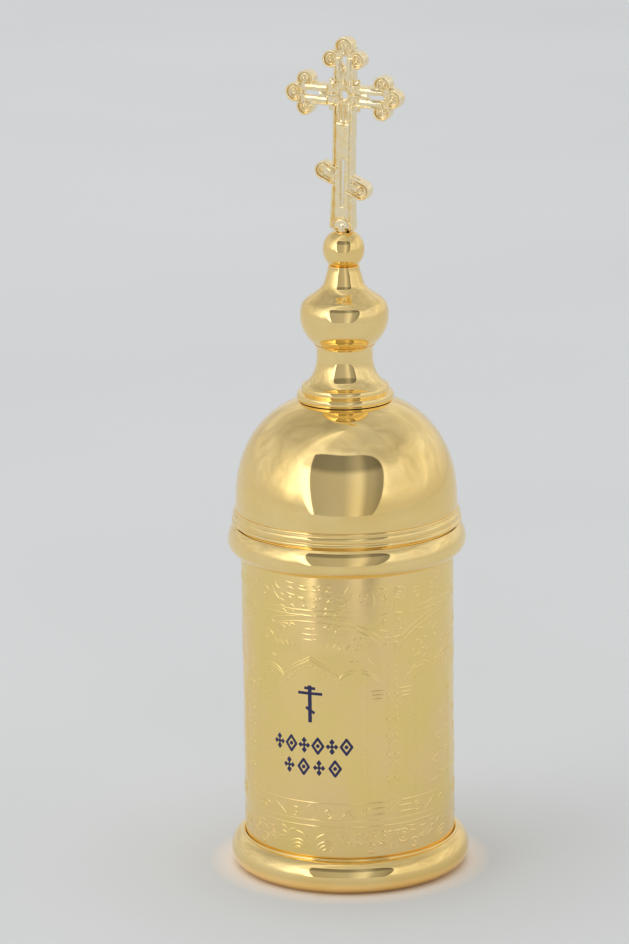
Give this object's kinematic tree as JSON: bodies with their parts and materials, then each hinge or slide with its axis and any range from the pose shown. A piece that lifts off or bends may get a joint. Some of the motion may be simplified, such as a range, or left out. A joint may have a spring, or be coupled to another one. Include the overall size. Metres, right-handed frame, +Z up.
{
  "type": "chrism vessel",
  "caption": "Cylindrical gilt chrism vessel with a lift-off domed lid, turned finial and openwork trefoil cross, holding a glass vial with a stopper and anointing rod.",
  "frame": {"origin": "centre of the foot, on the surface that the vessel stands on", "axes": "+Z up along the vessel's axis, +X along the cross's arms, towards the low end of its slanted bar; the front faces -Y"},
  "size_m": [0.05, 0.05, 0.1752],
  "materials": {
    "gilt_polished": "turned brass, polished and gilded to a mirror",
    "gilt_satin": "gilt brass with a soft satin surface, embossed on the outside of the case",
    "gilt_cast": "cast brass, gilded, with bright edges and a fine cast grain in the sunk panels",
    "glass": "clear blown glass",
    "cork": "natural cork",
    "felt": "pressed wool felt",
    "cotton": "bound cotton wick"
  },
  "bodies": {
    "case": {"case_tube": "gilt_satin", "base_ring": "gilt_polished", "base_plate": "gilt_satin", "body_ring": "gilt_polished", "neck_sleeve": "gilt_satin", "vial_seat": "felt"},
    "lid": {"lid_rim": "gilt_polished", "lid_dome": "gilt_polished", "finial_foot": "gilt_polished", "finial_bulb": "gilt_polished", "finial_ball": "gilt_polished", "tie_rod": "gilt_satin", "tie_washer": "gilt_satin", "tie_nut": "gilt_satin", "cross": "gilt_cast"},
    "vial": {"glass_vial": "glass"},
    "stopper": {"stopper_cap": "gilt_satin", "stopper_plug": "cork", "anointing_rod": "gilt_satin", "anointing_swab": "cotton"}
  },
  "joints": [
    {"name": "lid_lift", "type": "slide", "parent": "case", "child": "lid", "axis": [0, 0, 1], "range_m": [0, 0.17]},
    {"name": "vial_lift", "type": "slide", "parent": "case", "child": "vial", "axis": [0, 0, 1], "range_m": [0, 0.085]},
    {"name": "stopper_lift", "type": "slide", "parent": "vial", "child": "stopper", "axis": [0, 0, 1], "range_m": [0, 0.062]}
  ],
  "couplings": [
    {"joint": "vial_lift", "follows": "lid_lift", "ratio": 0.5},
    {"joint": "stopper_lift", "follows": "lid_lift", "ratio": 0.3647}
  ]
}
